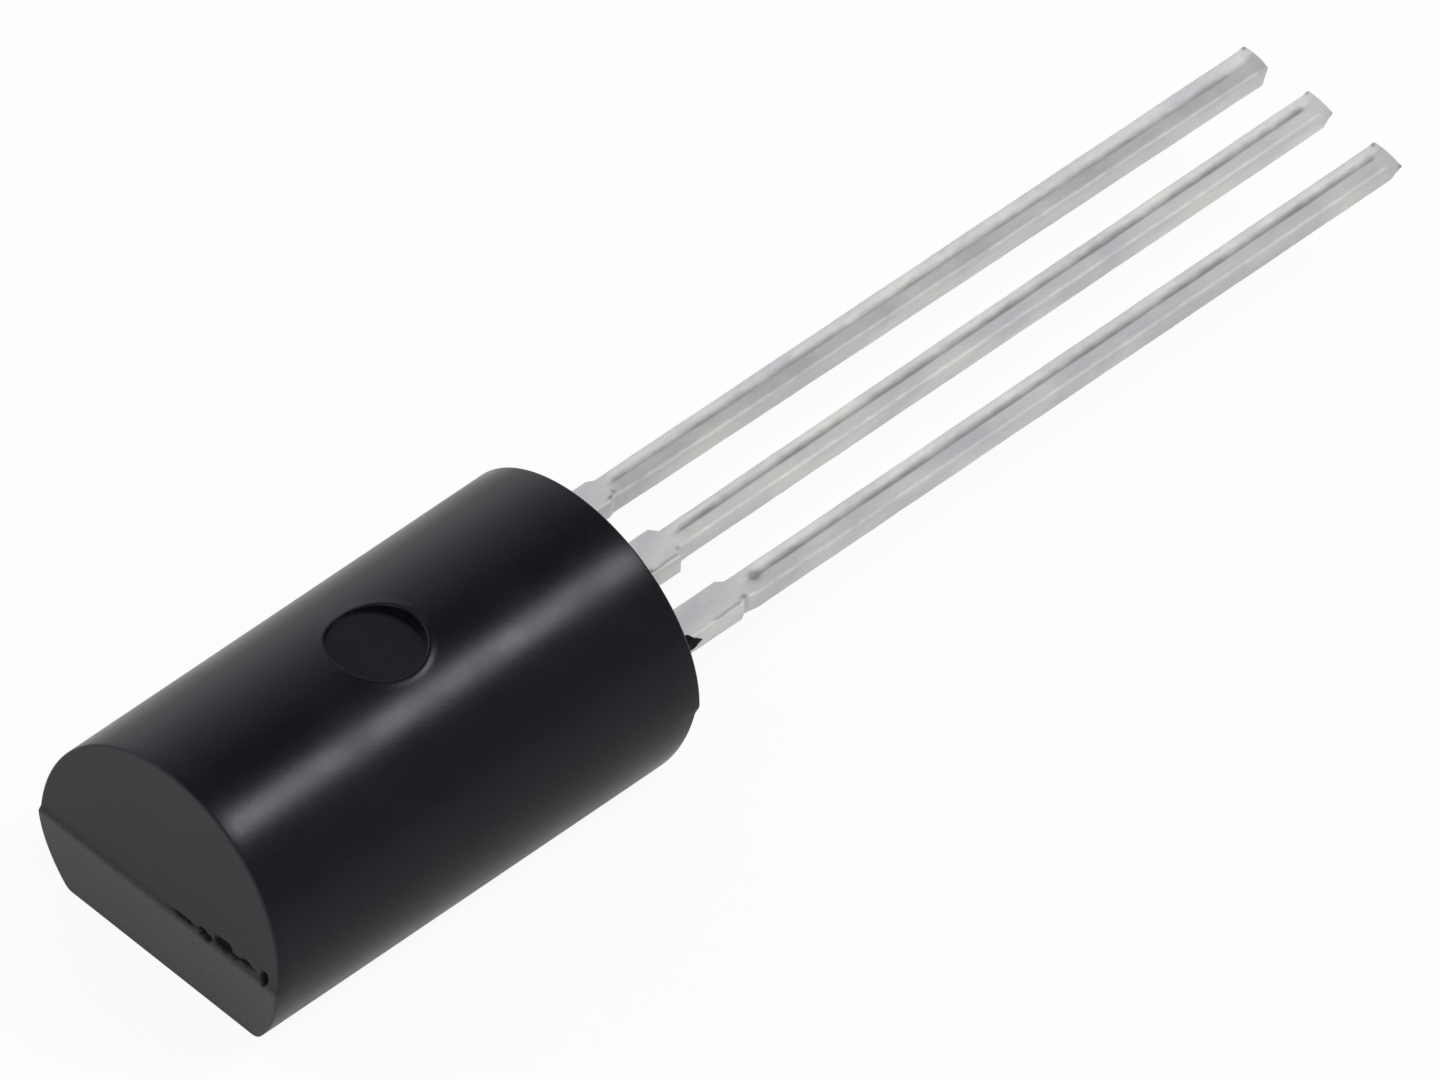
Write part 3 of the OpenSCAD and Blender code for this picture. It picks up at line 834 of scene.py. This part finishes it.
def spur_sheets():
    """The spur of flash: a section like a rounded rectangle, which wraps the near lead's outer edge and
    shrinks to a point halfway up the lead. Its outer side is a little wavy."""
    side_y = -(lead_pitch + side_shoulder)
    root_x = lead_end_x - 2 * spur_w
    point_x = body_high.x - spur_short
    reach = point_x - lead_end_x
    x = np.linspace(root_x, point_x, 40)[:, None]
    share = np.clip((x - lead_end_x) / reach, 0, 1)
    narrow = np.clip((share - spur_narrows) / (1 - spur_narrows), 0, 1)
    wave = spur_wave * np.sin(spur_waves * share) * (1 - narrow)
    inner = side_y + spur_lap * (1 - narrow) + spur_skin
    outer = side_y - spur_w * (1 - share) - spur_skin + wave
    top = parting_h + strip_top - strip_face + spur_t + 0.5 * wave
    halfway = (strip_top + strip_face) / 2
    bottom = parting_h + spur_lift + spur_rise * share
    upper = top * (1 - narrow) + (halfway + spur_point) * narrow
    lower = bottom * (1 - narrow) + (halfway - spur_point) * narrow
    around = np.linspace(0, 2 * np.pi, 28, endpoint=False)
    wide = np.sign(np.cos(around)) * np.abs(np.cos(around)) ** spur_square
    tall = np.sign(np.sin(around)) * np.abs(np.sin(around)) ** spur_square
    y = (inner + outer) / 2 + (inner - outer) / 2 * wide
    z = (upper + lower) / 2 + (upper - lower) / 2 * tall
    rings = np.stack([x + 0 * y, y, z], axis=-1)
    return [rings, end_cap(rings[0]), end_cap(rings[-1])]


head_edge, head_face = end_sheets(head_plane, 1)
lead_edge, lead_face = end_sheets(lead_end_plane, -1)
side_points, side_faces, mark_square = side_sheet(head_edge[0], lead_edge[0])
mark_points = mark_sheet(mark_square)
body_sheets = [
    (head_edge, lay_grid(head_edge, closed=True)),
    (head_face, lay_grid(head_face)),
    (lead_edge, lay_grid(lead_edge, closed=True)),
    (lead_face, lay_grid(lead_face)),
    (side_points, side_faces),
    (mark_points, lay_grid(mark_points, closed=True))
] + [(points, lay_grid(points, closed=True)) for points in spur_sheets()]


def matt_and_light_share(points):
    """How dull the resin is, and how much of the lighter end grey it takes: 0 on the satin sides,
    upper_matt_and_light on the upper part of the end faces and 1 on their coarser lower part, with a
    soft step round the edges. The lighter grey is partly painted light, and the lower part takes more of
    it as painted light from the floor."""
    x, y, z = np.moveaxis(points, -1, 0)
    at_head = np.clip(1 - (x - head_plane(y, z)) / edge_r, 0, 1)
    at_lead_end = np.clip(1 - (lead_end_plane(y, z) - x) / edge_r, 0, 1)
    return np.maximum(at_head, at_lead_end) * (upper_matt_and_light + (1 - upper_matt_and_light) * mould_half(z))


def chipped_share(points):
    """1 in the chips of the gate scar and on the broken spur, 0 elsewhere."""
    x, y, z = np.moveaxis(points, -1, 0)
    on_spur = np.clip((x - lead_end_x) / spur_fade, 0, 1)
    in_chip = np.clip(gate_bite(y, z) / chip_edge, 0, 1) * (x < head_x + head_clear)
    return in_chip + on_spur


body = make_piece(
    "moulded_body", body_sheets, sharp=55,
    shares={
        "matt_and_painted_light": [matt_and_light_share(points) for points, faces in body_sheets],
        "chipped": [chipped_share(points) for points, faces in body_sheets]
    }
)


def resin_finish():
    """Black moulding resin: satin on the round side, dull with a fine spark-eroded grain on the ends,
    and darker and rough where the gate broke off and on the spur. The ends are a lighter grey than the
    sides, partly for their dull finish and partly as painted light, lightest on their lower part.
    Silica shows as faint grey specks."""
    material, tree, shader, place = node_graph("moulding_resin")
    nodes = tree.nodes
    matt_and_painted_light = nodes.new("ShaderNodeAttribute")
    matt_and_painted_light.attribute_name = "matt_and_painted_light"
    chipped = nodes.new("ShaderNodeAttribute")
    chipped.attribute_name = "chipped"
    cloud = add_noise(tree, place, 0.9 * mm, 3)
    grain = add_noise(tree, place, 0.035 * mm, 3)
    specks = add_noise(tree, place, 0.02 * mm, 1)
    satin_shades = ((0.0042, 0.0038, 0.0064), (0.0056, 0.0051, 0.0082))
    # The ends' grey, lighter than the satin's: partly the dull finish, partly painted light
    end_shades = ((0.06, 0.0577, 0.0594), (0.0741, 0.0718, 0.0735))
    speck_grey = (0.05, 0.05, 0.052)
    broken_black = (0.006, 0.0058, 0.006)
    satin = blend_colour(tree, spread(tree, cloud, 0.3, 0.7, 0, 1), *satin_shades)
    ends = blend_colour(tree, spread(tree, grain, 0.35, 0.65, 0, 1), *end_shades)
    # The end faces take the lighter grey, most on their lower part; this is partly painted light
    plain = blend_colour(tree, matt_and_painted_light.outputs["Fac"], satin, ends)
    flecked = blend_colour(tree, spread(tree, specks, 0.66, 0.8, 0, 0.5), plain, speck_grey)
    broken = blend_colour(tree, chipped.outputs["Fac"], flecked, broken_black)
    tree.links.new(broken, shader.inputs["Base Color"])
    worn = spread(tree, cloud, 0.3, 0.7, 0.25, 0.31)
    matt_roughness = 0.3
    broken_roughness = 0.9
    dull = nodes.new("ShaderNodeMath")
    dull.operation = "MULTIPLY_ADD"
    dull.inputs[1].default_value = matt_roughness
    tree.links.new(matt_and_painted_light.outputs["Fac"], dull.inputs[0])
    tree.links.new(worn, dull.inputs[2])
    ragged = nodes.new("ShaderNodeMath")
    ragged.operation = "MAXIMUM"
    tree.links.new(dull.outputs[0], ragged.inputs[0])
    rough_chips = spread(tree, chipped.outputs["Fac"], 0, 1, 0, broken_roughness)
    tree.links.new(rough_chips, ragged.inputs[1])
    tree.links.new(ragged.outputs[0], shader.inputs["Roughness"])
    shader.inputs["Specular IOR Level"].default_value = 0.16
    shader.inputs["Specular Tint"].default_value = (0.95, 0.92, 1.0, 1)
    waves = add_bump(tree, cloud, 0.004 * mm, 0.5)
    tree.links.new(add_bump(tree, grain, 0.0016 * mm, 0.5, waves), shader.inputs["Normal"])
    return material


body.data.materials.append(resin_finish())
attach(body, "root")
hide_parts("body")


# Floor and surroundings
# A sheet of white paper lies under the part, just clear of the flat, and keeps its shadow. It looks
# whiter to the camera and in reflections than its lit colour. The room round it is bright on the far
# side and dim above.
floor_side = 3.0
floor_gap = 0.002 * mm
ends = np.array([-floor_side, floor_side])
floor_x, floor_y = np.meshgrid(ends, ends, indexing="ij")
floor_points = np.stack([floor_x, floor_y, 0 * floor_x - floor_gap], axis=-1)
floor = make_piece("paper_floor", [(floor_points, lay_grid(floor_points))])
paper, tree, shader, place = node_graph("white_paper")
fibres = add_noise(tree, place, 0.4 * mm, 3)
fibrous = spread(tree, fibres, 0.3, 0.7, 0, 1)
paper_tone = blend_colour(tree, fibrous, (0.9, 0.9, 0.9), (0.93, 0.93, 0.93))
tree.links.new(paper_tone, shader.inputs["Base Color"])
shader.inputs["Roughness"].default_value = 0.9
shader.inputs["Specular IOR Level"].default_value = 0.1
seen_white = 0.92
mirrored_white = 0.27
ray = tree.nodes.new("ShaderNodeLightPath")
by_camera = spread(tree, ray.outputs["Is Camera Ray"], 0, 1, 0, seen_white)
mirrors = tree.nodes.new("ShaderNodeMath")
mirrors.operation = "MAXIMUM"
tree.links.new(ray.outputs["Is Glossy Ray"], mirrors.inputs[0])
tree.links.new(ray.outputs["Is Transmission Ray"], mirrors.inputs[1])
whiter = tree.nodes.new("ShaderNodeMath")
whiter.operation = "MAXIMUM"
tree.links.new(by_camera, whiter.inputs[0])
tree.links.new(spread(tree, mirrors.outputs[0], 0, 1, 0, mirrored_white), whiter.inputs[1])
white = tree.nodes.new("ShaderNodeEmission")
white.inputs["Strength"].default_value = 1.0
both = tree.nodes.new("ShaderNodeMixShader")
tree.links.new(whiter.outputs[0], both.inputs["Fac"])
tree.links.new(shader.outputs[0], both.inputs[1])
tree.links.new(white.outputs[0], both.inputs[2])
tree.links.new(both.outputs[0], tree.nodes["Material Output"].inputs["Surface"])
floor.data.materials.append(paper)

room = bpy.data.worlds.new("soft_room")
bpy.context.scene.world = room
room.use_nodes = True
nodes = room.node_tree.nodes
toward = nodes.new("ShaderNodeSeparateXYZ")
room.node_tree.links.new(nodes.new("ShaderNodeTexCoord").outputs["Generated"], toward.inputs[0])
walls = nodes.new("ShaderNodeValToRGB")
room.node_tree.links.new(spread(room.node_tree, toward.outputs["Y"], -1, 1, 0, 1), walls.inputs["Fac"])
near_wall = (0.6, 0.6, 0.6, 1)
dim_ceiling = (0.17, 0.17, 0.18, 1)
far_wall = (1.3, 1.3, 1.35, 1)
walls.color_ramp.elements[0].position = 0.2
walls.color_ramp.elements[0].color = near_wall
walls.color_ramp.elements[1].position = 0.9
walls.color_ramp.elements[1].color = far_wall
walls.color_ramp.elements.new(0.52).color = dim_ceiling
walls.color_ramp.elements.new(0.63).color = dim_ceiling
room.node_tree.links.new(walls.outputs["Color"], nodes["Background"].inputs["Color"])
nodes["Background"].inputs["Strength"].default_value = 1.0


# Lamps
# A soft box high on the right draws the streak along the round side, and a larger one on the left
# fills the shadows. Both look at the part.
def soft_box(name, toward, reach, side, watts):
    """A square lamp at the distance reach along toward, facing the part."""
    light = bpy.data.lights.new(name, "AREA")
    light.shape = "SQUARE"
    light.size = side
    light.energy = watts
    lamp = bpy.data.objects.new(name, light)
    back = np.array(toward) / np.linalg.norm(toward)
    right = np.cross([0, 0, 1], back)
    right = right / np.linalg.norm(right)
    up = np.cross(back, right)
    turn = Matrix(np.array([right, up, back]).T.tolist()).to_4x4()
    turn.translation = (back * reach).tolist()
    lamp.matrix_world = turn
    bpy.context.scene.collection.objects.link(lamp)


soft_box("key_box", toward=(0.516, -0.310, 0.798), reach=0.6, side=0.13, watts=1.25)
soft_box("fill_box", toward=(-0.85, -0.15, 0.45), reach=0.6, side=0.4, watts=1.0)


# Camera
# The camera looks down on the part from its head end. Its angles, scale and aim come from a fit of the
# body's outline and the leads' edges to the photograph, 1440 by 1080 pixels. It stands at about half
# the distance of that fit, which hardly changes the picture, so that no other view is cut off.
frame_w = 1440
azimuth, elevation, roll_angle = np.radians([-47.43493, 46.30115, 4.23922])
camera_reach = 0.6
pixels_per_metre = 73519.33
aim_right = 4.81286 * mm
aim_up = 3.89358 * mm
sensor_w = 36.0
level_right = np.array([np.cos(azimuth), np.sin(azimuth), 0])
level_up = np.array([
    -np.sin(azimuth) * np.sin(elevation),
    np.cos(azimuth) * np.sin(elevation),
    np.cos(elevation)
])
back = np.cross(level_right, level_up)
right = np.cos(roll_angle) * level_right + np.sin(roll_angle) * level_up
up = np.cos(roll_angle) * level_up - np.sin(roll_angle) * level_right
lens = bpy.data.cameras.new("camera")
lens.sensor_width = sensor_w
lens.lens = sensor_w * camera_reach * pixels_per_metre / frame_w
lens.clip_start = 0.05
lens.clip_end = 20
camera = bpy.data.objects.new("camera", lens)
turn = Matrix(np.array([right, up, back]).T.tolist()).to_4x4()
turn.translation = (back * camera_reach + right * aim_right + up * aim_up).tolist()
camera.matrix_world = turn
bpy.context.scene.collection.objects.link(camera)
bpy.context.scene.camera = camera
bpy.context.scene.view_settings.view_transform = "Standard"
